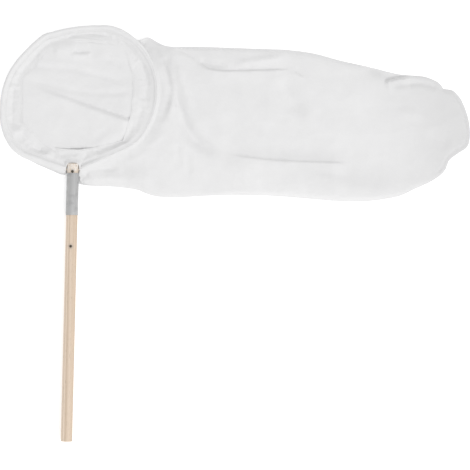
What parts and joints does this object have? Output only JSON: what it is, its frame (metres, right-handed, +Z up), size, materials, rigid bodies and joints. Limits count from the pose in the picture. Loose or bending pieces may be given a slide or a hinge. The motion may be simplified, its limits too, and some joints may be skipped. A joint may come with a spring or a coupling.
{
  "type": "insect net",
  "caption": "Hand insect net: a white cloth bag on a round wire hoop, which a sliding metal ferrule locks to the end of a plain wooden handle.",
  "frame": {"origin": "on the table under the middle of the net's outline, as it lies flat", "axes": "+X from the hoop along the laid-out bag, +Y from the handle's butt towards the hoop, +Z up from the table"},
  "size_m": [0.996, 0.8854, 0.0269],
  "materials": {
    "handle_wood": "sanded, unvarnished",
    "ferrule_metal": "satin",
    "hoop_steel": "drawn wire",
    "pin_steel": "dull, darkened",
    "rim_cloth": "plain woven cotton",
    "bag_cloth": "thin woven cotton"
  },
  "bodies": {
    "net_frame": {"handle": "handle_wood", "hoop_wire": "hoop_steel", "upper_stop_pin": "pin_steel", "lower_stop_pin": "pin_steel", "rim_casing": "rim_cloth", "bag_mouth_front": "bag_cloth", "bag_mouth_back": "bag_cloth"},
    "ferrule": {"ferrule": "ferrule_metal"},
    "bag_tail": {"bag_tail_front": "bag_cloth", "bag_tail_back": "bag_cloth"}
  },
  "joints": [
    {"name": "ferrule_slide", "type": "slide", "parent": "net_frame", "child": "ferrule", "axis": [0, -1, 0], "range_m": [0, 0.063]},
    {"name": "bag_fold_over", "type": "hinge", "parent": "net_frame", "child": "bag_tail", "pos_m": [-0.1373, 0.2403, 0.027], "axis": [0, -1, 0], "range_deg": [0, 175]}
  ]
}
